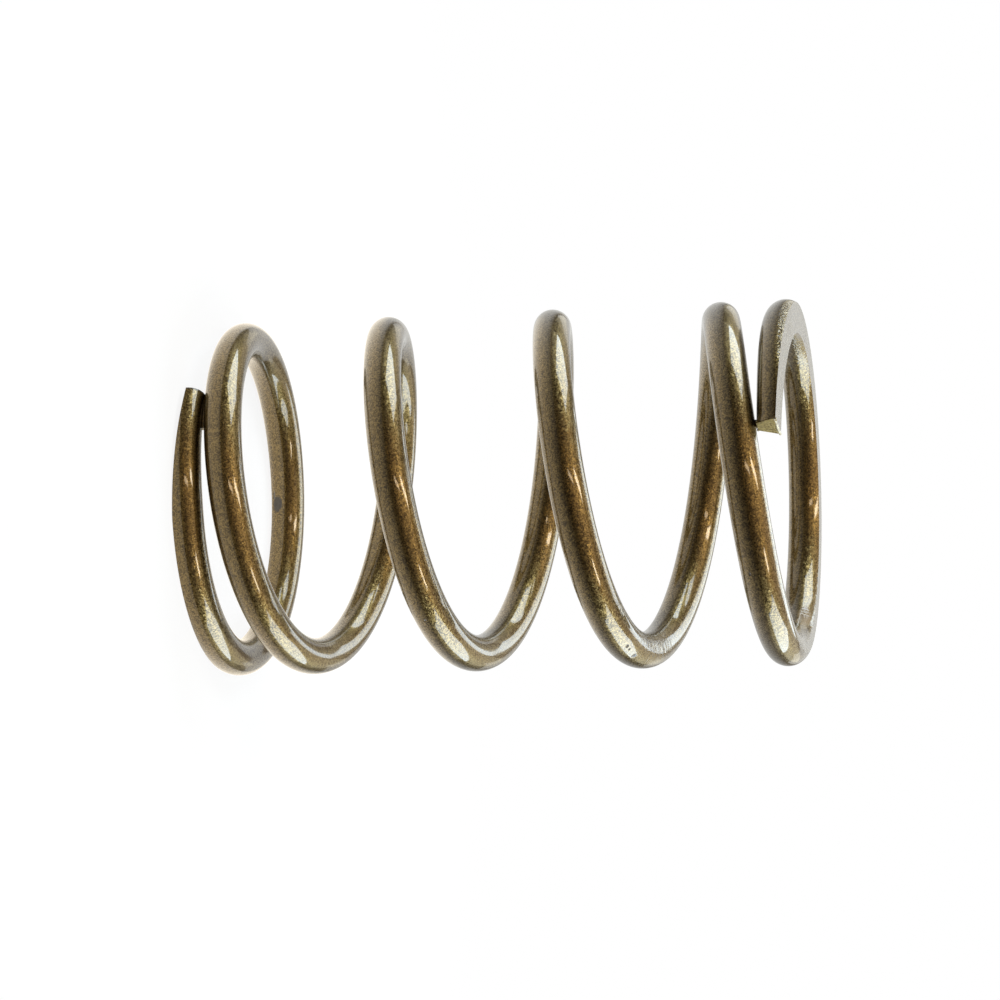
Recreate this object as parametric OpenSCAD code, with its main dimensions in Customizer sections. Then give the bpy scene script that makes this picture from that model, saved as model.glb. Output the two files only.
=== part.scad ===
// Clutch spring: a compression spring of round wire for a belt-drive clutch.
// Right-hand coils, with the two ends closed, cut square and ground flat.
// It stands on its lower ground end. The axis of the coils is Z, and the
// origin is on that axis in the plane of the lower seat. Millimetres.

/* [Wire and coils] */
// Diameter of the round wire
wire_d = 6; // [4:0.1:7.5]
// Mean diameter of the coils, measured to the middle of the wire
mean_d = 53; // [45:0.5:70]
// Turns of wire from one cut end to the other, the closed ends included
total_turns = 5.055; // [4.5:0.005:7]
// Length from seat to seat with no load on the spring
free_length = 96.6; // [85:0.1:115]

/* [Lower end] */
// Direction of the lower wire tip round the axis, counted from +X
lower_tip_angle = 232; // [0:0.5:359.5]
// Height of the wire's middle over the seat at the lower tip, which sets the ground depth
lower_tip_height = 0.35; // [0:0.05:1.5]
// Turns from the lower tip to where the coils start to open
lower_closed_turns = 0.46; // [0.4:0.01:0.7]
// Turns over which the lower end opens to the full pitch
lower_opening_turns = 0.92; // [0.6:0.01:1]
// Turns from the lower tip over which it is bent towards the seat and dressed clear of it
lower_tip_turns = 0.12; // [0.08:0.01:0.15]
// How far the lower tip is bent towards the seat
lower_tip_bend = 0.55; // [0:0.05:0.8]
// How far the lower tip is dressed clear of the seat, at the wire's middle
lower_tip_lift = 0.85; // [0.2:0.05:1.2]
// Slant of the lower cut face, which leaves the side of the wire away from the seat longer
lower_cut_slant = 12; // [-15:1:15]

/* [Upper end] */
// Depth of the wire's middle below the seat at the upper tip, which sets the ground depth
upper_tip_depth = 0.9; // [0:0.05:1.5]
// Turns from the upper tip to where the coils start to open
upper_closed_turns = 0.64; // [0.6:0.01:0.8]
// Turns over which the upper end opens to the full pitch
upper_opening_turns = 0.45; // [0.35:0.01:0.8]
// Turns from the upper tip over which it is bent towards the seat and dressed clear of it
upper_tip_turns = 0.15; // [0.08:0.01:0.15]
// How far the upper tip is bent towards the seat
upper_tip_bend = 0.35; // [0:0.05:0.8]
// How far the upper tip is dressed clear of the seat, at the wire's middle
upper_tip_lift = 0.6; // [0.2:0.05:1.2]
// Slant of the upper cut face, which leaves the seat's side of the wire longer
upper_cut_slant = 7; // [-15:1:15]

/* [Fit] */
// Gap between each wire tip and the coil that it closes against
tip_gap = 0.1; // [0.05:0.05:0.5]

/* [Hidden] */

paint = [0.56, 0.50, 0.36];
sides = 20;
rings_per_turn = 54;
rings = ceil(total_turns * rings_per_turn);

// smooth_step goes from 0 to 1 as u does and is level at both ends, and ramp is
// the area under it, which is the rise of a coil whose pitch follows it.
function clamp(u) = max(0, min(1, u));
function smooth_step(u) = let(v = clamp(u)) v * v * (3 - 2 * v);
function ramp(u) = let(v = clamp(u)) v * v * v * (1 - v / 2) + max(u - 1, 0);

// Turns from each tip to the middle of its opening stretch.
lower_end_turns = lower_closed_turns + lower_opening_turns / 2;
upper_end_turns = upper_closed_turns + upper_opening_turns / 2;

// How much of the opening lies within the first turn of each end.
lower_share = lower_opening_turns * ramp((1 - lower_closed_turns) / lower_opening_turns);
upper_share = upper_opening_turns * ramp((1 - upper_closed_turns) / upper_opening_turns);

// Each end's first pitch brings the next coil to wire_d + tip_gap from the tip
// after one turn, and the full pitch fills the length between the two tips.
lower_step = wire_d + tip_gap - lower_tip_bend;
upper_step = wire_d + tip_gap - upper_tip_bend;
lower_lead = lower_end_turns / (1 - lower_share);
upper_lead = upper_end_turns / (1 - upper_share);
full_turns = total_turns - lower_end_turns - upper_end_turns;
straight_length = free_length - lower_tip_height - upper_tip_depth - lower_tip_bend - upper_tip_bend;
full_pitch = (straight_length - lower_step * lower_lead - upper_step * upper_lead)
    / (full_turns - lower_share * lower_lead - upper_share * upper_lead);
lower_pitch = (lower_step - full_pitch * lower_share) / (1 - lower_share);
upper_pitch = (upper_step - full_pitch * upper_share) / (1 - upper_share);

// Where the coils start to open above the lower end and have closed below the upper one.
lower_opens = lower_closed_turns;
upper_closes = total_turns - upper_closed_turns - upper_opening_turns;

// Height of the wire's middle t turns from the lower tip, without its bent tips and with them.
function coil_height(t) = lower_tip_height + lower_pitch * t
    + (full_pitch - lower_pitch) * lower_opening_turns * ramp((t - lower_opens) / lower_opening_turns)
    - (full_pitch - upper_pitch) * upper_opening_turns * ramp((t - upper_closes) / upper_opening_turns);
function height(t) = coil_height(t)
    + lower_tip_bend * smooth_step(t / lower_tip_turns)
    + upper_tip_bend * (1 - smooth_step((total_turns - t) / upper_tip_turns));

// Rise of the wire per turn, which is the slope of its height.
function bend_slope(u) = let(v = clamp(u)) 6 * v * (1 - v);
function pitch(t) = lower_pitch
    + (full_pitch - lower_pitch) * smooth_step((t - lower_opens) / lower_opening_turns)
    - (full_pitch - upper_pitch) * smooth_step((t - upper_closes) / upper_opening_turns)
    + lower_tip_bend / lower_tip_turns * bend_slope(t / lower_tip_turns)
    + upper_tip_bend / upper_tip_turns * bend_slope((total_turns - t) / upper_tip_turns);

// A ring of points round the wire, t turns from the lower tip. It is square to
// the wire, but for the slanted ring of a cut face.
function wire_ring(t, slant = 0) =
    let(
        angle = lower_tip_angle + 360 * t,
        lead = atan(pitch(t) / (PI * mean_d)),
        outward = [cos(angle), sin(angle), 0],
        along = [-sin(angle) * cos(lead), cos(angle) * cos(lead), sin(lead)],
        across = [sin(angle) * sin(lead), -cos(angle) * sin(lead), cos(lead)],
        middle = outward * mean_d / 2 + [0, 0, height(t)]
    )
    [for (k = [0 : sides - 1])
        middle + wire_d / 2 * (cos(360 * k / sides) * outward
            + sin(360 * k / sides) * (across - tan(slant) * along))];

// The wire as it is wound, round all along and cut at both tips.
module wound_wire() {
    points = [for (i = [0 : rings])
        each wire_ring(total_turns * i / rings,
            i == 0 ? lower_cut_slant : i == rings ? -upper_cut_slant : 0)];
    lower_cut = [for (k = [0 : sides - 1]) k];
    upper_cut = [for (k = [sides - 1 : -1 : 0]) rings * sides + k];
    wall = [for (i = [0 : rings - 1], k = [0 : sides - 1])
        let(low = i * sides, high = low + sides, next = (k + 1) % sides)
        [low + k, high + k, high + next, low + next]];
    polyhedron(points, concat([lower_cut, upper_cut], wall));
}

// What is ground off a tip to dress it clear of the seat: a wedge that starts on the
// radius this many turns from the tip and is lift high at the tip, over the seat at z 0.
module tip_dressing(tip_angle, lift, turns) {
    past_tip = 4;
    length = mean_d / 2 * sin(360 * turns) + past_tip;
    rise = lift / (mean_d / 2 * sin(360 * turns)) * length;
    inside = mean_d / 2 * cos(360 * turns) - wire_d;
    rotate([0, 0, tip_angle + 360 * turns])
        translate([inside, 0, 0])
            rotate([90, 0, 90])
                linear_extrude(mean_d / 2 + wire_d - inside)
                    polygon([[0, 0], [0, -wire_d], [-length, -wire_d], [-length, rise]]);
}

// The space between the two seats, which grinding the ends leaves of the wire.
module between_seats() {
    reach = mean_d + 2 * wire_d;
    upper_tip_angle = lower_tip_angle + 360 * total_turns;
    difference() {
        translate([-reach / 2, -reach / 2, 0])
            cube([reach, reach, free_length]);
        tip_dressing(lower_tip_angle, lower_tip_lift, lower_tip_turns);
        translate([0, 0, free_length])
            rotate([180, 0, 0])
                tip_dressing(-upper_tip_angle, upper_tip_lift, upper_tip_turns);
    }
}

module coil_spring() {
    color(paint)
        intersection() {
            wound_wire();
            between_seats();
        }
}

coil_spring();
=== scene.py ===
"""Clutch spring: one length of painted steel wire, wound, closed and ground at both ends.

It stands on its lower ground end, as on the table that it was photographed on. The
photograph is turned a quarter turn, so that its right is the spring's up, and the camera
is turned with it. Everything is in metres, in the part's own frame.
"""

import math

import bpy
import numpy as np
from mathutils import Matrix, Vector


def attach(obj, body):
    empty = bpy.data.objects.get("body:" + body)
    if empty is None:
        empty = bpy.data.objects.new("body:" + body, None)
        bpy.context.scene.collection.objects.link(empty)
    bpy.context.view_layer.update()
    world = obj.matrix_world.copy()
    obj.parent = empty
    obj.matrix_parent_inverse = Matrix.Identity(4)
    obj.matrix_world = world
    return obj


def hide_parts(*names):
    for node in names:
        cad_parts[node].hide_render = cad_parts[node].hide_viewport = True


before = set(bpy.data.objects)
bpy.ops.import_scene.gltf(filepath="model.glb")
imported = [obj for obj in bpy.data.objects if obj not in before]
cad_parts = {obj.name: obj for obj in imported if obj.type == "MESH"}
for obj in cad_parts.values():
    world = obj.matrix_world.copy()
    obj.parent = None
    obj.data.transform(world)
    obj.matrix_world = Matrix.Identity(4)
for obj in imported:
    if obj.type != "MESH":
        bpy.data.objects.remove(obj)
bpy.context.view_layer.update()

MM = 0.001
NODE = "coil_spring"
UP = np.array([0.0, 0.0, 1.0])
scene = bpy.context.scene

# The spring's sizes, the same as the part's own

WIRE_D = 6 * MM
MEAN_D = 53 * MM
TOTAL_TURNS = 5.055
FREE_LENGTH = 96.6 * MM
LOWER_TIP_ANGLE = 232
LOWER_TIP_HEIGHT = 0.35 * MM
LOWER_CLOSED_TURNS = 0.46
LOWER_OPENING_TURNS = 0.92
LOWER_TIP_TURNS = 0.12
LOWER_TIP_BEND = 0.55 * MM
LOWER_TIP_LIFT = 0.85 * MM
LOWER_CUT_SLANT = math.radians(12)
UPPER_TIP_DEPTH = 0.9 * MM
UPPER_CLOSED_TURNS = 0.64
UPPER_OPENING_TURNS = 0.45
UPPER_TIP_TURNS = 0.15
UPPER_TIP_BEND = 0.35 * MM
UPPER_TIP_LIFT = 0.6 * MM
UPPER_CUT_SLANT = math.radians(-7)
TIP_GAP = 0.1 * MM
WIRE_RADIUS = WIRE_D / 2
COIL_RADIUS = MEAN_D / 2
TURN_LENGTH = math.pi * MEAN_D

# The coil's centre line: closed ends with bent tips, and pitch that opens smoothly between


def smooth_step(u):
    """Goes from 0 to 1 as u does and is level at both ends."""
    v = np.clip(u, 0, 1)
    return v * v * (3 - 2 * v)


def ramp(u):
    """Area under the smooth step."""
    v = np.clip(u, 0, 1)
    return v ** 3 * (1 - v / 2) + np.maximum(u - 1, 0)


LOWER_END_TURNS = LOWER_CLOSED_TURNS + LOWER_OPENING_TURNS / 2
UPPER_END_TURNS = UPPER_CLOSED_TURNS + UPPER_OPENING_TURNS / 2
LOWER_SHARE = LOWER_OPENING_TURNS * ramp((1 - LOWER_CLOSED_TURNS) / LOWER_OPENING_TURNS)
UPPER_SHARE = UPPER_OPENING_TURNS * ramp((1 - UPPER_CLOSED_TURNS) / UPPER_OPENING_TURNS)
LOWER_STEP = WIRE_D + TIP_GAP - LOWER_TIP_BEND
UPPER_STEP = WIRE_D + TIP_GAP - UPPER_TIP_BEND
LOWER_LEAD = LOWER_END_TURNS / (1 - LOWER_SHARE)
UPPER_LEAD = UPPER_END_TURNS / (1 - UPPER_SHARE)
FULL_TURNS = TOTAL_TURNS - LOWER_END_TURNS - UPPER_END_TURNS
STRAIGHT_LENGTH = FREE_LENGTH - LOWER_TIP_HEIGHT - UPPER_TIP_DEPTH - LOWER_TIP_BEND - UPPER_TIP_BEND
FULL_PITCH = (STRAIGHT_LENGTH - LOWER_STEP * LOWER_LEAD - UPPER_STEP * UPPER_LEAD) / (
    FULL_TURNS - LOWER_SHARE * LOWER_LEAD - UPPER_SHARE * UPPER_LEAD
)
LOWER_PITCH = (LOWER_STEP - FULL_PITCH * LOWER_SHARE) / (1 - LOWER_SHARE)
UPPER_PITCH = (UPPER_STEP - FULL_PITCH * UPPER_SHARE) / (1 - UPPER_SHARE)
UPPER_CLOSES = TOTAL_TURNS - UPPER_CLOSED_TURNS - UPPER_OPENING_TURNS


def height(t):
    """Height of the wire's middle, t turns from the lower tip."""
    lower = ramp((t - LOWER_CLOSED_TURNS) / LOWER_OPENING_TURNS)
    upper = ramp((t - UPPER_CLOSES) / UPPER_OPENING_TURNS)
    return (
        LOWER_TIP_HEIGHT
        + LOWER_PITCH * t
        + (FULL_PITCH - LOWER_PITCH) * LOWER_OPENING_TURNS * lower
        - (FULL_PITCH - UPPER_PITCH) * UPPER_OPENING_TURNS * upper
        + LOWER_TIP_BEND * smooth_step(t / LOWER_TIP_TURNS)
        + UPPER_TIP_BEND * (1 - smooth_step((TOTAL_TURNS - t) / UPPER_TIP_TURNS))
    )


# The wire's mesh: round sections along the coil, each cut flat where it meets a seat

RINGS_PER_TURN = 216
SEAT_POINTS = 12
SIDE_POINTS = 28
LEAST_SEAT_ANGLE = math.radians(14)
SLOPE_STEP = 1e-5
TIP_BEVEL = 0.12 * MM
NO_EDGE = 9 * MM
SHARP_ANGLE = math.radians(28)
CUT_MATERIAL = 1
BURR_MATERIAL = 2

# The upper tip as the shears left it: squared below and on both sides, and the cut set back
# at its outer corner. Depths and set-back are in wire radii, and directions go from the
# inner side over the bottom.

SHEARED_LENGTH = 1.4 * MM
SHEARED_DEPTH = 0.867
SHEARED_INSIDE = math.radians(17)
SHEARED_OUTSIDE = math.radians(150)
LEAST_COSINE = 0.01
CUT_SET_BACK = 0.19
FULL_SET_BACK_HEIGHT = 1.1

# The paint that bridges the gap next to each tip, and the burrs on the upper tip

LOWER_BRIDGE_TURNS = 0.035
UPPER_BRIDGE_TURNS = 0.008
BRIDGE_START_TURNS = 0.001
BRIDGE_HALF_WIDTH = 0.45 * MM
BRIDGE_OVERLAP = 0.1 * MM
BRIDGE_RINGS = 12
BRIDGE_SIDES = 10
BURR_SIDES = 8
BURR_SEED = 7
RIDGE_POINTS = 40
RIDGE_DEPTH = 0.05 * MM
RIDGE_SIZE = 0.11 * MM
RIDGE_RAGGED = 0.10 * MM
RIDGE_CORNER = np.array([0.15, 0.28, 0.20]) * MM
RIDGE_END_SHARE = 0.5
KNOB_START = -0.25 * MM
KNOB_END = 0.2 * MM
KNOB_SIZES = np.array([0.08, 0.19, 0.24, 0.24, 0.18, 0.06]) * MM


def seat_angles(cut, tilt):
    """Where a seat's outer and inner edges lie on the round, as angles from its middle.

    The seat cuts the round section of radius 1 at this height, and is tilted outward by
    this much.
    """
    root = np.sqrt(np.maximum(1 + tilt ** 2 - cut ** 2, 0))
    outer = (root - cut * tilt) / (1 + tilt ** 2)
    inner = (root + cut * tilt) / (1 + tilt ** 2)
    outer_angle = np.arctan2(outer, -cut - tilt * outer)
    inner_angle = np.arctan2(inner, -cut + tilt * inner)
    return np.maximum(outer_angle, LEAST_SEAT_ANGLE), np.maximum(inner_angle, LEAST_SEAT_ANGLE)


def past_seat(round_angle, middle, before, after):
    """How far along the round each point is past a seat's edge, less than 0 on the seat.

    The seat's middle lies at this angle, and its two edges this far before and after it.
    """
    turned = (round_angle - middle + math.pi) % (2 * math.pi) - math.pi
    reach = np.where(turned > 0, after[:, None], before[:, None])
    return (np.abs(turned) - reach) * WIRE_RADIUS


def dressing(turns_from_tip, dressed_turns, lift):
    """How fast the dressed tip's face leaves the seat, going outward from the axis."""
    swept = np.sin(2 * math.pi * np.clip(dressed_turns - turns_from_tip, 0, dressed_turns))
    return lift * swept / (COIL_RADIUS * math.sin(2 * math.pi * dressed_turns))


def sheared_size(x, y):
    """Size of the squared upper tip in this direction, in wire radii."""
    side = np.arctan2(-y, -x)
    flat_inside = SHEARED_DEPTH / np.maximum(np.cos(side - SHEARED_INSIDE), LEAST_COSINE)
    flat_floor = 1 / np.maximum(np.sin(side), LEAST_COSINE)
    flat_outside = 1 / np.maximum(np.cos(side - SHEARED_OUTSIDE), LEAST_COSINE)
    square = np.minimum(np.minimum(flat_inside, flat_floor), flat_outside)
    squared = (side > SHEARED_INSIDE) & (side < SHEARED_OUTSIDE)
    return np.where(squared, square, np.minimum(1, flat_inside))


class Pieces:
    """Closed bits of mesh gathered into one."""

    def __init__(self):
        self.points = []
        self.faces = []
        self.materials = []
        self.turns = []
        self.edges = []

    def add_tube(self, points, turns, edges, cap_material=0, wall_material=0):
        """A tube through rings of points, an array of rings, points and x, y, z."""
        rings, sides = points.shape[:2]
        first = len(self.points)
        last = first + (rings - 1) * sides
        ring = first + np.arange(rings - 1)[:, None] * sides
        here = np.arange(sides)[None, :]
        after = (here + 1) % sides
        wall = [ring + here, ring + after, ring + sides + after, ring + sides + here]
        wall = np.stack(wall, 2).reshape(-1, 4).tolist()
        caps = [list(range(first + sides - 1, first - 1, -1)), list(range(last, last + sides))]
        self.faces += wall + caps
        self.materials += [wall_material] * len(wall) + [cap_material] * 2
        self.points += points.reshape(-1, 3).tolist()
        self.turns += np.broadcast_to(turns, (rings, sides)).reshape(-1).tolist()
        self.edges += np.broadcast_to(edges, (rings, sides)).reshape(-1).tolist()

    def add_burr(self, path, sizes, across, flat):
        """A thin ridge along a path, this thick at each point of it, pale with a painted highlight.
        """
        around = np.linspace(0, 2 * math.pi, BURR_SIDES, endpoint=False)
        spokes = np.cos(around)[:, None] * across + np.sin(around)[:, None] * flat
        rings = path[:, None, :] + spokes[None] * sizes[:, None, None]
        self.add_tube(rings, TOTAL_TURNS, NO_EDGE, BURR_MATERIAL, BURR_MATERIAL)


def outward_at(t):
    """Unit vectors from the axis to the wire, t turns from the lower tip."""
    angle = np.radians(LOWER_TIP_ANGLE + 360 * t)
    return np.stack([np.cos(angle), np.sin(angle), 0 * angle], 1)


def wire_axes(t):
    """Unit vectors at the wire, t turns from the lower tip: outward, along it and across it."""
    outward = outward_at(t)
    around = np.stack([-outward[:, 1], outward[:, 0], 0 * t], 1)
    rise = (height(t + SLOPE_STEP) - height(t - SLOPE_STEP)) / (2 * SLOPE_STEP)
    lead = np.arctan(rise / TURN_LENGTH)[:, None]
    along = around * np.cos(lead) + UP * np.sin(lead)
    across = UP * np.cos(lead) - around * np.sin(lead)
    return outward, along, across


def add_wire(pieces):
    """The wire itself. It returns the places of the two burrs, and the upper tip's axes."""
    bevel_turns = TIP_BEVEL / TURN_LENGTH
    count = math.ceil(TOTAL_TURNS * RINGS_PER_TURN)
    inner = np.linspace(bevel_turns, TOTAL_TURNS - bevel_turns, count)
    t = np.concatenate([[0], inner, [TOTAL_TURNS]])
    size = np.full(len(t), WIRE_RADIUS)
    size[[0, -1]] -= TIP_BEVEL
    outward, along, across = wire_axes(t)
    upright = across[:, 2]

    # The seats cut the round section at these heights, in wire radii, with these tilts
    low_tilt = dressing(t, LOWER_TIP_TURNS, LOWER_TIP_LIFT) / upright
    high_tilt = -dressing(TOTAL_TURNS - t, UPPER_TIP_TURNS, UPPER_TIP_LIFT) / upright
    low = low_tilt * MEAN_D / WIRE_D - height(t) / (WIRE_RADIUS * upright)
    high = high_tilt * MEAN_D / WIRE_D + (FREE_LENGTH - height(t)) / (WIRE_RADIUS * upright)

    # Points round the section, as angles from its bottom towards the outside
    lower_outer, lower_inner = seat_angles(low, low_tilt)
    upper_outer, upper_inner = seat_angles(-high, -high_tilt)
    seat = np.linspace(0, 1, SEAT_POINTS)[None, :]
    side = (np.arange(1, SIDE_POINTS + 1) / (SIDE_POINTS + 1))[None, :]
    stretches = [
        (-lower_inner, lower_outer, seat),
        (lower_outer, math.pi - upper_outer, side),
        (math.pi - upper_outer, math.pi + upper_inner, seat),
        (math.pi + upper_inner, 2 * math.pi - lower_inner, side),
    ]
    stretches = [a[:, None] + share * (b - a)[:, None] for a, b, share in stretches]
    round_angle = np.concatenate(stretches, 1)

    # Their places outward and upward in the section, in wire radii
    x = np.sin(round_angle)
    y = -np.cos(round_angle)
    from_tips = np.stack([t, TOTAL_TURNS - t], 1) * TURN_LENGTH
    sheared = smooth_step(1 - from_tips[:, 1] / SHEARED_LENGTH)[:, None]
    section = 1 + (sheared_size(x, y) - 1) * sheared
    x = x * section
    low_line = low[:, None] + low_tilt[:, None] * x
    high_line = high[:, None] + high_tilt[:, None] * x
    y = np.clip(y * section, low_line, high_line)

    # How far they are back from a section square to the wire, at the slanted cuts
    slants = np.tan([LOWER_CUT_SLANT, UPPER_CUT_SLANT])
    slant = (np.clip(1 - from_tips / WIRE_RADIUS, 0, 1) * slants).sum(1)[:, None]
    set_back = np.clip(x, 0, 1) * np.clip((y + 1) / FULL_SET_BACK_HEIGHT, 0, 1)
    back = y * slant + CUT_SET_BACK * sheared * set_back

    middle = outward * COIL_RADIUS + UP * height(t)[:, None]
    points = (
        middle[:, None, :]
        + outward[:, None, :] * (x * size[:, None])[:, :, None]
        + across[:, None, :] * (y * size[:, None])[:, :, None]
        - along[:, None, :] * (back * size[:, None])[:, :, None]
    )

    from_lower = past_seat(round_angle, 0, lower_inner, lower_outer)
    from_upper = past_seat(round_angle, math.pi, upper_outer, upper_inner)
    from_lower = np.where(low[:, None] > -1, from_lower, NO_EDGE)
    from_upper = np.where(high[:, None] < 1, from_upper, NO_EDGE)
    edges = np.minimum(from_lower, from_upper)
    pieces.add_tube(points, t[:, None], edges, cap_material=CUT_MATERIAL)

    upper_seat = slice(SEAT_POINTS + SIDE_POINTS, 2 * SEAT_POINTS + SIDE_POINTS)
    low_corner = np.argmax(section[-2])
    return points[-1, upper_seat], points[-2, low_corner], outward[-1], along[-1]


def add_bridges(pieces):
    """Paint that has closed the narrow gap next to each tip."""
    around = np.linspace(0, 2 * math.pi, BRIDGE_SIDES, endpoint=False)
    upper_end = TOTAL_TURNS - 1
    stretches = [
        (BRIDGE_START_TURNS, LOWER_BRIDGE_TURNS),
        (upper_end - UPPER_BRIDGE_TURNS, upper_end - BRIDGE_START_TURNS),
    ]
    for first, last in stretches:
        turn = np.linspace(first, last, BRIDGE_RINGS)
        gap = height(turn + 1) - height(turn) - WIRE_D
        level = (height(turn) + height(turn + 1)) / 2
        wide = COIL_RADIUS + BRIDGE_HALF_WIDTH * np.cos(around)
        tall = level[:, None] + (gap[:, None] / 2 + BRIDGE_OVERLAP) * np.sin(around)
        rings = outward_at(turn)[:, None, :] * wide[None, :, None] + UP * tall[:, :, None]
        pieces.add_tube(rings, turn[:, None], NO_EDGE)


def add_burrs(pieces, cut_edge, low_corner, outward, along):
    """A ragged ridge along the upper cut's top edge, and a knob at its low corner."""
    shares = np.linspace(0, 1, RIDGE_POINTS)
    places = np.linspace(0, 1, len(cut_edge))
    ridge = cut_edge - UP * RIDGE_DEPTH
    ridge = np.stack([np.interp(shares, places, ridge[:, axis]) for axis in range(3)], 1)
    ragged = np.random.default_rng(BURR_SEED)
    sizes = RIDGE_SIZE + RIDGE_RAGGED * ragged.random(RIDGE_POINTS)
    sizes[: len(RIDGE_CORNER)] = RIDGE_CORNER
    sizes[[0, -1]] *= RIDGE_END_SHARE
    pieces.add_burr(ridge, sizes, along, UP)

    knob = low_corner + along * np.linspace(KNOB_START, KNOB_END, len(KNOB_SIZES))[:, None]
    pieces.add_burr(knob, KNOB_SIZES, outward, UP)


pieces = Pieces()
upper_tip = add_wire(pieces)
add_bridges(pieces)
add_burrs(pieces, *upper_tip)
mesh = bpy.data.meshes.new("painted_coil")
mesh.from_pydata(pieces.points, [], pieces.faces)
mesh.polygons.foreach_set("material_index", pieces.materials)
mesh.attributes.new("turns", "FLOAT", "POINT").data.foreach_set("value", pieces.turns)
mesh.attributes.new("from_edge", "FLOAT", "POINT").data.foreach_set("value", pieces.edges)
mesh.shade_smooth()
mesh.set_sharp_from_angle(angle=SHARP_ANGLE)
coil = bpy.data.objects.new("painted_coil", mesh)
scene.collection.objects.link(coil)
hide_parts(NODE)
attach(coil, "root")

# Materials


class Shader:
    """The nodes of a material or world, made and linked by name."""

    def __init__(self, tree):
        self.nodes = tree.nodes
        self.links = tree.links
        self.nodes.clear()

    def add(self, kind, settings=None, **inputs):
        """A node with these settings, and inputs given by name, or as _0, _1 by their order."""
        node = self.nodes.new(kind)
        for name, value in (settings or {}).items():
            setattr(node, name, value)
        for name, value in inputs.items():
            order = name[1:]
            if order.isdigit():
                socket = node.inputs[int(order)]
            else:
                socket = node.inputs[name.replace("_", " ")]
            if isinstance(value, bpy.types.NodeSocket):
                self.links.new(value, socket)
            else:
                socket.default_value = value
        return node

    def math(self, operation, *values):
        """The result of one Math node."""
        inputs = {f"_{i}": value for i, value in enumerate(values)}
        return self.add("ShaderNodeMath", {"operation": operation}, **inputs).outputs[0]

    def vector(self, operation, *values, **inputs):
        """The vector that one Vector Math node gives."""
        inputs.update({f"_{i}": value for i, value in enumerate(values)})
        return self.add("ShaderNodeVectorMath", {"operation": operation}, **inputs).outputs[0]

    def length(self, vector):
        node = self.add("ShaderNodeVectorMath", {"operation": "LENGTH"}, _0=vector)
        return node.outputs["Value"]

    def mix(self, share, first, second):
        """A colour that goes from the first to the second as the share goes from 0 to 1."""
        node = self.add("ShaderNodeMix", {"data_type": "RGBA"}, _0=share, _6=first, _7=second)
        return node.outputs[2]

    def share(self, value, start, end, smooth=False):
        """0 to 1 as the value goes from start to end."""
        settings = {"interpolation_type": "SMOOTHSTEP" if smooth else "LINEAR"}
        node = self.add("ShaderNodeMapRange", settings, Value=value, From_Min=start, From_Max=end)
        return node.outputs[0]

    def noise(self, place, size, detail):
        """Noise from 0 to 1 with grains of about this size."""
        node = self.add("ShaderNodeTexNoise", Vector=place, Scale=1 / size, Detail=detail)
        return node.outputs["Fac"]

    def place(self):
        return self.add("ShaderNodeTexCoord").outputs["Object"]

    def attribute(self, name):
        return self.add("ShaderNodeAttribute", {"attribute_name": name}).outputs["Fac"]


def material(name):
    made = bpy.data.materials.new(name)
    made.use_nodes = True
    return made, Shader(made.node_tree)


# The paint: dark and light flakes, each tilted its own way, under a smooth clear coat

FLAKE_SIZE = 0.19 * MM
FLAKE_TILT = 0.22
FLAKE_RANGE = (0.2, 0.8)
DARK_FLAKE = (0.052, 0.034, 0.010, 1)
LIGHT_FLAKE = (0.215, 0.155, 0.058, 1)
PAINT_ROUGHNESS = 0.38
COAT_ROUGHNESS = 0.07
COAT_IOR = 1.5

# Marks in the paint: each one's middle and its half sizes along X, Y and Z, in millimetres.
# The dark ones are bare steel, the dull ones are thin brown paint, the scuffs are strokes
# along the wire, and the rough one is uneven paint. The outline and the slope say where a
# mark ends and where it is whole or deepest, in half sizes with the ragged noise added.

DARK_MARKS = [
    ((0.90, 23.7, 1.33), (1.30, 0.9, 0.92)),
    ((-0.50, 23.8, 0.64), (0.90, 0.6, 0.16)),
    ((-24.08, -9.69, 33.49), (0.24, 0.24, 0.17)),
    ((20.02, -21.66, 38.88), (0.20, 0.20, 0.16)),
    ((25.09, -14.41, 69.82), (0.34, 0.28, 0.24)),
    ((25.70, -13.50, 69.95), (0.24, 0.20, 0.20)),
    ((26.75, -11.10, 70.20), (0.42, 0.42, 0.38)),
    ((13.90, -25.74, 91.09), (0.34, 0.26, 0.20)),
    ((23.40, 6.10, 94.40), (0.42, 0.60, 0.26)),
    ((22.90, 6.70, 94.10), (0.30, 0.40, 0.18)),
]
DULL_MARKS = [
    ((21.60, 9.00, 95.30), (2.4, 3.3, 1.1)),
    ((22.90, 7.00, 94.90), (1.2, 1.6, 0.9)),
]
SCUFFS = [
    ((25.0, -3.0, 72.3), (3.5, 9.0, 2.4)),
    ((19.2, -19.0, 69.7), (1.8, 1.8, 0.8)),
]
ROUGH_MARKS = [
    ((-22.0, 8.5, 95.6), (3.5, 7.0, 2.2)),
]
MARK_RAGGED = 0.6
MARK_OUTLINE = (1.45, 1.15)
MARK_SLOPE = (1.6, 0.5)
# The bare steel's colour in the dark marks, also used for the painted shade round the lower cut.
BARE_AND_SHADE = (0.022, 0.017, 0.014, 1)
BARE_AND_SHADE_ROUGHNESS = 0.3
BARE_DEPTH = -0.5
DULL = (0.20, 0.125, 0.045, 1)
DULL_SHARE = 0.8
# Painted shade: within this many turns of the lower tip the paint is darkened towards the bare
# colour, as a thin dark line round the cut.
CUT_SHADE_TURNS = 0.002
CUT_SHADE_SHARE = 0.8

# How rough the paint is, as shares of ROUGH_HEIGHT: in the marks, close to the ground edges,
# in a wide stretch behind the upper tip, and in fine lines across the ground seats. The
# lengths of strokes and grinding lines are in times their width.

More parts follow.
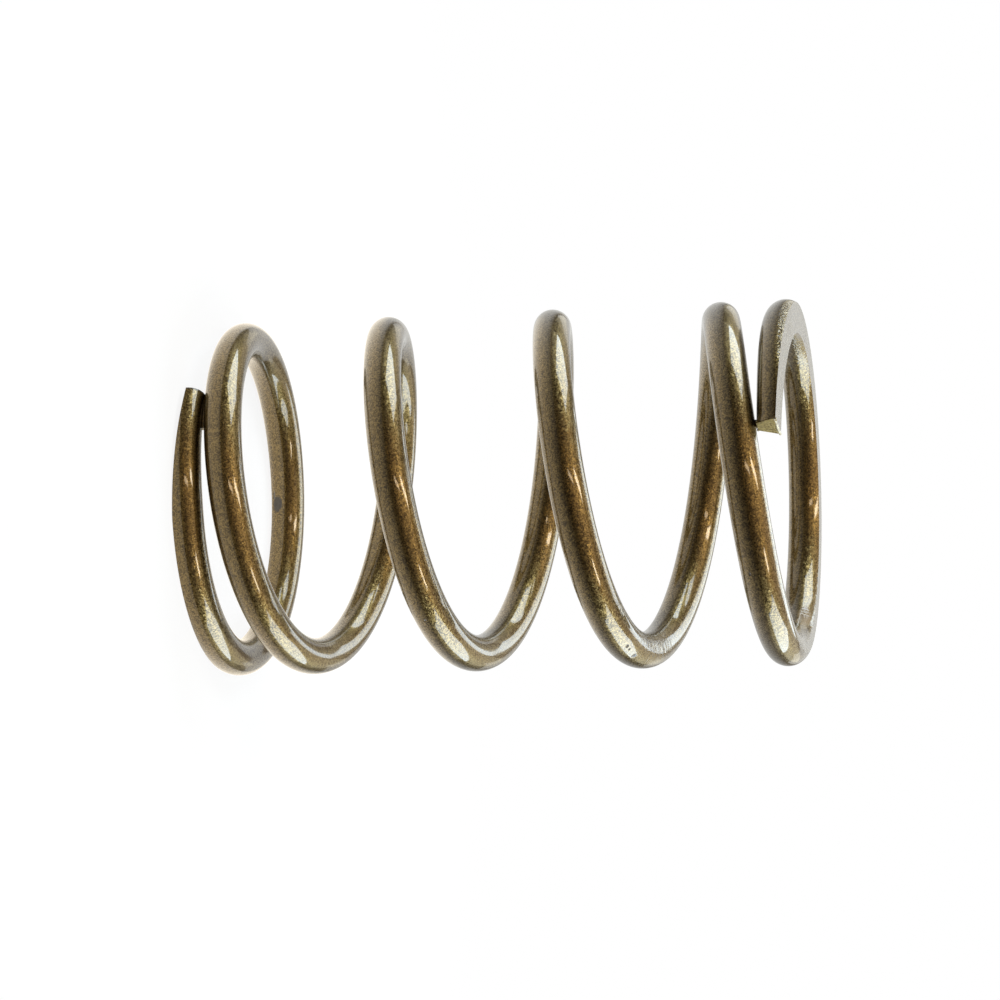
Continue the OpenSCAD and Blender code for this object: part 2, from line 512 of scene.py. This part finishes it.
ROUGH_SIZE = 0.50 * MM
ROUGH_HEIGHT = 0.28 * MM
ROUGH_MARK_SHARE = 0.5
SCUFF_SHARE = 0.6
STROKE_LENGTH = 6
EDGE_WIDTH = 0.3 * MM
EDGE_SHARE = 0.4
TIP_STRETCH_START = (TOTAL_TURNS - 0.17, TOTAL_TURNS - 0.15)
TIP_STRETCH_END = (TOTAL_TURNS - 0.045, TOTAL_TURNS - 0.125)
TIP_STRETCH_WIDTH = 1.5 * MM
TIP_STRETCH_FADE = 0.3 * MM
GRIND_ANGLE = math.radians(35)
GRIND_LINE = 0.16 * MM
GRIND_LENGTH = 25
GRIND_SHARE = 0.10


def marks(s, place, ragged, where):
    """1 inside any of these marks and 0 outside, with ragged outlines, and how deep they are."""
    covered = 0.0
    depth = 0.0
    for middle, half in where:
        spot = s.add(
            "ShaderNodeMapping",
            {"vector_type": "TEXTURE"},
            Vector=place,
            Location=Vector(middle) * MM,
            Scale=Vector(half) * MM,
        )
        away = s.math("MULTIPLY_ADD", ragged, MARK_RAGGED, s.length(spot.outputs[0]))
        covered = s.math("MAXIMUM", s.share(away, *MARK_OUTLINE), covered)
        depth = s.math("MAXIMUM", s.share(away, *MARK_SLOPE), depth)
    return covered, depth


def ragged_edges(s, place, turns, from_edge):
    """How rough the paint is at the ground edges, and further out behind the upper tip."""
    thin = s.share(s.math("ABSOLUTE", from_edge), EDGE_WIDTH, 0.0)
    after = s.share(turns, *TIP_STRETCH_START)
    before = s.share(turns, *TIP_STRETCH_END)
    width = s.math("MULTIPLY", s.math("MULTIPLY", after, before), TIP_STRETCH_WIDTH)
    wide = s.share(s.math("SUBTRACT", width, from_edge), 0.0, TIP_STRETCH_FADE)
    from_axis = s.length(s.vector("MULTIPLY", place, (1, 1, 0)))
    off_seat = s.math("GREATER_THAN", from_edge, 0.0)
    outside = s.math("MULTIPLY", off_seat, s.math("GREATER_THAN", from_axis, COIL_RADIUS))
    thin = s.math("MULTIPLY", thin, EDGE_SHARE)
    return s.math("MAXIMUM", thin, s.math("MULTIPLY", wide, outside))


def grinding_lines(s, place, from_edge):
    """Fine parallel lines, from -0.5 to 0.5, and the share that they have on the seats."""
    turned = s.add(
        "ShaderNodeMapping",
        Vector=place,
        Rotation=(0, 0, GRIND_ANGLE),
        Scale=(1, 1 / GRIND_LENGTH, 1),
    )
    lines = s.noise(turned.outputs[0], GRIND_LINE, 1.0)
    on_seat = s.math("LESS_THAN", from_edge, 0.0)
    return s.math("SUBTRACT", lines, 0.5), s.math("MULTIPLY", on_seat, GRIND_SHARE)


def paint():
    made, s = material("bronze_flake_paint")
    place = s.place()
    turns = s.attribute("turns")
    from_edge = s.attribute("from_edge")
    flakes = s.add("ShaderNodeTexVoronoi", {"feature": "F1"}, Vector=place, Scale=1 / FLAKE_SIZE)
    flakes = flakes.outputs["Color"]
    colour = s.mix(s.share(flakes, *FLAKE_RANGE), DARK_FLAKE, LIGHT_FLAKE)

    ragged = s.noise(place, ROUGH_SIZE, 2.0)
    axis = s.add("ShaderNodeSeparateXYZ", Vector=place).outputs
    along_wire = s.math("MULTIPLY", turns, TURN_LENGTH * STROKE_LENGTH)
    stretched = s.add("ShaderNodeCombineXYZ", X=along_wire, Y=axis["X"], Z=axis["Z"]).outputs[0]
    strokes = s.noise(stretched, ROUGH_SIZE * STROKE_LENGTH, 1.0)

    bare_and_shade, pit = marks(s, place, ragged, DARK_MARKS)
    dull, scraped = marks(s, place, ragged, DULL_MARKS)
    streaked = marks(s, place, ragged, SCUFFS)[1]
    torn = marks(s, place, ragged, ROUGH_MARKS)[1]
    # Painted shade: a thin dark line round the lower cut, joined to the bare marks.
    painted_cut_shade = s.math("LESS_THAN", turns, CUT_SHADE_TURNS)
    bare_and_shade = s.math("MAXIMUM", bare_and_shade, s.math("MULTIPLY", painted_cut_shade, CUT_SHADE_SHARE))
    colour = s.mix(s.math("MULTIPLY", dull, DULL_SHARE), colour, DULL)
    colour = s.mix(bare_and_shade, colour, BARE_AND_SHADE)

    scuffed = s.math("MULTIPLY", s.math("MAXIMUM", streaked, scraped), SCUFF_SHARE)
    torn = s.math("MULTIPLY", torn, ROUGH_MARK_SHARE)
    torn = s.math("MAXIMUM", ragged_edges(s, place, turns, from_edge), torn)
    lines, ground = grinding_lines(s, place, from_edge)
    uneven = s.math("MULTIPLY", s.math("SUBTRACT", ragged, 0.5), torn)
    uneven = s.math("MULTIPLY_ADD", s.math("SUBTRACT", strokes, 0.5), scuffed, uneven)
    uneven = s.math("MULTIPLY_ADD", lines, ground, uneven)
    uneven = s.math("MULTIPLY_ADD", pit, BARE_DEPTH, uneven)
    surface = s.add("ShaderNodeBump", Distance=ROUGH_HEIGHT, Height=uneven).outputs[0]

    tilt = s.vector("SCALE", s.vector("SUBTRACT", flakes, (0.5, 0.5, 0.5)), Scale=FLAKE_TILT)
    shader = s.add(
        "ShaderNodeBsdfPrincipled",
        Base_Color=colour,
        Metallic=s.math("SUBTRACT", 1.0, s.math("MAXIMUM", bare_and_shade, dull)),
        Roughness=s.math("MULTIPLY_ADD", bare_and_shade, BARE_AND_SHADE_ROUGHNESS, PAINT_ROUGHNESS),
        Normal=s.vector("NORMALIZE", s.vector("ADD", tilt, surface)),
        Coat_Weight=1.0,
        Coat_Roughness=COAT_ROUGHNESS,
        Coat_IOR=COAT_IOR,
        Coat_Normal=surface,
    )
    s.add("ShaderNodeOutputMaterial", Surface=shader.outputs[0])
    return made


# The torn cut faces, painted over, and the burrs that the shears and the grinding left. The burrs'
# pale colour is partly their bare steel and partly a painted highlight.

CUT_GRAIN = 0.35 * MM
CUT_HEIGHT = 0.15 * MM
CUT_RANGE = (0.3, 0.7)
CUT_DARK = (0.13, 0.095, 0.030, 1)
CUT_LIGHT = (0.52, 0.40, 0.150, 1)
CUT_ROUGHNESS = 0.5
CUT_SPECULAR = 0.15
BURR_RANGE = (0.35, 0.6)
BURR_DARK = (0.45, 0.38, 0.22, 1)
BURR_HIGHLIGHT = (0.86, 0.82, 0.64, 1)
BURR_ROUGHNESS = 0.4


def cut_face():
    made, s = material("painted_cut")
    grain = s.noise(s.place(), CUT_GRAIN, 3.0)
    shader = s.add(
        "ShaderNodeBsdfPrincipled",
        Base_Color=s.mix(s.share(grain, *CUT_RANGE), CUT_DARK, CUT_LIGHT),
        Roughness=CUT_ROUGHNESS,
        Normal=s.add("ShaderNodeBump", Distance=CUT_HEIGHT, Height=grain).outputs[0],
        Specular_IOR_Level=CUT_SPECULAR,
    )
    s.add("ShaderNodeOutputMaterial", Surface=shader.outputs[0])
    return made


# Partly the burrs' bare steel and partly a painted highlight: pale and dull, so that they look
# bright under any light.
def burr_and_highlight():
    made, s = material("burr_steel_and_highlight")
    grain = s.noise(s.place(), CUT_GRAIN, 2.0)
    shader = s.add(
        "ShaderNodeBsdfPrincipled",
        Base_Color=s.mix(s.share(grain, *BURR_RANGE), BURR_DARK, BURR_HIGHLIGHT),
        Roughness=BURR_ROUGHNESS,
    )
    s.add("ShaderNodeOutputMaterial", Surface=shader.outputs[0])
    return made


for shade in (paint(), cut_face(), burr_and_highlight()):
    coil.data.materials.append(shade)

# The table, white as in the photograph: near the spring it takes light and shadow, and
# further off it goes over into the plain white of the background. In reflections it is
# warm and bright near the spring and dims towards the front and the sides.

FLOOR_SIZE = 12
TABLE_COLOUR = (0.93, 0.93, 0.93, 1)
WHITE = (1, 1, 1, 1)
SHADOW_REACH = (30 * MM, 200 * MM)
SHADOW_SHARE = 0.88
NEAR_TABLE = (1.40, 1.27, 1.06, 1)
FAR_WHITE = (0.75, 0.75, 0.73, 1)
FAR_FRONT = (0.10, 0.083, 0.066, 1)
FRONT_START = 10 * MM
FRONT_LENGTH = 85 * MM
FRONT_SPREAD = 0.5
SIDE_MIDDLE = -75 * MM
SIDE_START = 110 * MM
SIDE_LENGTH = 320 * MM


def background(s, reflected=FAR_WHITE):
    """The background's white, dimmer in reflections, and 1 for the rays that see it."""
    path = s.add("ShaderNodeLightPath").outputs
    colour = s.mix(path["Is Camera Ray"], reflected, WHITE)
    seen = s.math("MAXIMUM", path["Is Camera Ray"], path["Is Glossy Ray"])
    return colour, s.math("MAXIMUM", seen, path["Is Transmission Ray"])


def table_light(s, place):
    """How much of the table's brightness is left here, as it dims to the front and sides."""
    axis = s.add("ShaderNodeSeparateXYZ", Vector=place).outputs
    to_front = s.math("MAXIMUM", s.math("MULTIPLY_ADD", axis["Y"], -1.0, -FRONT_START), 0.0)
    length = s.math("MULTIPLY_ADD", s.math("ABSOLUTE", axis["X"]), FRONT_SPREAD, FRONT_LENGTH)
    to_side = s.math("ABSOLUTE", s.math("SUBTRACT", axis["X"], SIDE_MIDDLE))
    to_side = s.math("MAXIMUM", s.math("SUBTRACT", to_side, SIDE_START), 0.0)
    sideways = s.math("DIVIDE", to_side, SIDE_LENGTH)
    dimming = s.math("ADD", s.math("DIVIDE", to_front, length), sideways)
    return s.math("EXPONENT", s.math("MULTIPLY", dimming, -1.0))


def table_top():
    made, s = material("white_table")
    place = s.place()
    far = s.share(s.length(place), *SHADOW_REACH, smooth=True)
    reflected = s.mix(table_light(s, place), FAR_FRONT, s.mix(far, NEAR_TABLE, FAR_WHITE))
    colour, seen = background(s, reflected)
    plain_share = s.add("ShaderNodeMapRange", Value=far, To_Min=SHADOW_SHARE).outputs[0]
    plain_share = s.math("MULTIPLY", plain_share, seen)
    lit = s.add("ShaderNodeBsdfDiffuse", Color=TABLE_COLOUR).outputs[0]
    plain = s.add("ShaderNodeEmission", Color=colour).outputs[0]
    both = s.add("ShaderNodeMixShader", _0=plain_share, _1=lit, _2=plain)
    s.add("ShaderNodeOutputMaterial", Surface=both.outputs[0])
    return made


def stage_piece(name, points, faces, shade):
    mesh = bpy.data.meshes.new(name)
    mesh.from_pydata(points, [], faces)
    mesh.materials.append(shade)
    made = bpy.data.objects.new(name, mesh)
    scene.collection.objects.link(made)
    return made


half = FLOOR_SIZE / 2
corners = [(-half, -half, 0), (half, -half, 0), (half, half, 0), (-half, half, 0)]
stage_piece("table", corners, [(0, 1, 2, 3)], table_top())

# The dark room in front of the spring and over it, which only reflections see, with an
# opening low down behind the spring. Azimuth is from the front (-Y) towards +X, and
# elevation is above level, both in degrees.

ROOM_RADIUS = 2.0
ROOM_AZIMUTH_STEP = 5
ROOM_ELEVATION_STEP = 2
ROOM_DARK = (0.048, 0.040, 0.032, 1)
ROOM_CEILING = (1.02, 0.74, 0.46, 1)
OPENING_SIDE = 150
OPENING_HIGH = 20


def direction(azimuth, elevation):
    a, e = math.radians(azimuth), math.radians(elevation)
    return Vector((math.sin(a) * math.cos(e), -math.cos(a) * math.cos(e), math.sin(e)))


def room_wall():
    made, s = material("dark_room")
    high = s.add("ShaderNodeSeparateXYZ", Vector=s.place()).outputs["Z"]
    elevation = s.math("ARCSINE", s.math("DIVIDE", high, ROOM_RADIUS))
    ceiling = s.share(elevation, 0.0, math.pi / 2, smooth=True)
    glow = s.add("ShaderNodeEmission", Color=s.mix(ceiling, ROOM_DARK, ROOM_CEILING))
    s.add("ShaderNodeOutputMaterial", Surface=glow.outputs[0])
    return made


def room():
    azimuths = range(-180, 181, ROOM_AZIMUTH_STEP)
    elevations = range(0, 91, ROOM_ELEVATION_STEP)
    across = len(azimuths)
    points = [direction(a, e) * ROOM_RADIUS for e in elevations for a in azimuths]
    faces = []
    for row, low in enumerate(elevations[:-1]):
        for column, left in enumerate(azimuths[:-1]):
            behind = min(abs(left), abs(left + ROOM_AZIMUTH_STEP)) >= OPENING_SIDE
            if behind and low < OPENING_HIGH:
                continue
            first = row * across + column
            faces.append((first, first + 1, first + across + 1, first + across))
    made = stage_piece("dark_room", points, faces, room_wall())
    made.visible_camera = False
    made.visible_diffuse = False
    made.visible_shadow = False


room()

# Lamps: two soft boxes beside the spring with a dim warm skirt under each, dim warm panels
# and a bright one behind it, and small warm lamps above and in front. The three distances
# are from the spring's middle.

FAR_LAMP = 1.2
NEAR_LAMP = 0.47
BACK_LAMP = 0.39
MIDDLE = Vector((0, 0, FREE_LENGTH / 2))
DAYLIGHT = (0.86, 1.0, 1.10)
WARM = (1.0, 0.84, 0.60)
EVENING = (1.0, 0.93, 0.66)
ORANGE = (1.0, 0.76, 0.48)


def lamp(name, azimuth, elevation, wide, high, level, colour, distance, turn=0):
    """A rectangular lamp that looks this many degrees wide and high from the spring.

    Its energy follows its size, so the level is how bright its face looks.
    """
    light = bpy.data.lights.new(name, "AREA")
    light.shape = "RECTANGLE"
    light.size = 2 * distance * math.tan(math.radians(wide / 2))
    light.size_y = 2 * distance * math.tan(math.radians(high / 2))
    light.energy = math.pi * light.size * light.size_y * level
    light.color = colour
    made = bpy.data.objects.new(name, light)
    scene.collection.objects.link(made)
    out = direction(azimuth, elevation)
    facing = out.to_track_quat("Z", "Y").to_matrix().to_4x4()
    spin = Matrix.Rotation(math.radians(turn), 4, "Z")
    made.matrix_world = Matrix.Translation(MIDDLE + out * distance) @ facing @ spin


lamp("left_soft_box", -104.5, 32, 40, 34, 6.0, DAYLIGHT, NEAR_LAMP, turn=5)
lamp("left_box_skirt", -103, 7, 36, 13, 0.5, EVENING, NEAR_LAMP)
lamp("right_soft_box", 107, 28, 44, 36, 5.5, DAYLIGHT, NEAR_LAMP)
lamp("right_box_skirt", 103, 4, 40, 13, 0.6, EVENING, NEAR_LAMP)
lamp("right_rear_panel", 146, 27, 26, 36, 0.65, EVENING, NEAR_LAMP)
lamp("left_rear_panel", -150, 18, 24, 32, 0.4, EVENING, NEAR_LAMP)
lamp("back_panel", -179, 46, 31, 30, 3.5, DAYLIGHT, BACK_LAMP)
lamp("left_ceiling_tube", -40, 70.5, 6, 22, 16.0, WARM, FAR_LAMP, turn=15)
lamp("right_ceiling_tube", 58, 54, 13, 7, 16.0, WARM, FAR_LAMP)
lamp("front_warm_lamp", -17, 36, 4, 20, 9.0, ORANGE, FAR_LAMP)

# The world: white where it is seen, and a dim even light on the object

WORLD_LEVEL = 0.15
world = bpy.data.worlds.new("studio")
scene.world = world
world.use_nodes = True
sky = Shader(world.node_tree)
colour, seen = background(sky)
level = sky.add("ShaderNodeMapRange", Value=seen, To_Min=WORLD_LEVEL)
glow = sky.add("ShaderNodeBackground", Color=colour, Strength=level.outputs[0])
sky.add("ShaderNodeOutputWorld", Surface=glow.outputs[0])

# The camera, turned a quarter turn as the photograph is

SENSOR_WIDTH = 36
FOCAL_LENGTH = 102.15
TARGET = Vector((1.389, 0, 46.731)) * MM
DISTANCE = 467.2 * MM
ELEVATION = math.radians(12.486)
ROLL = math.radians(-1.725)

camera_data = bpy.data.cameras.new("camera")
camera_data.sensor_width = SENSOR_WIDTH
camera_data.lens = FOCAL_LENGTH
camera = bpy.data.objects.new("camera", camera_data)
scene.collection.objects.link(camera)
back = Vector((0, -math.cos(ELEVATION), math.sin(ELEVATION)))
right = (Vector((0, 0, 1)) - back * back.z).normalized()
up = back.cross(right)
turned_right = right * math.cos(ROLL) + up * math.sin(ROLL)
turned_up = up * math.cos(ROLL) - right * math.sin(ROLL)
axes = Matrix((turned_right, turned_up, back)).transposed()
camera.matrix_world = Matrix.Translation(TARGET + back * DISTANCE) @ axes.to_4x4()
scene.camera = camera

scene.view_settings.view_transform = "Standard"
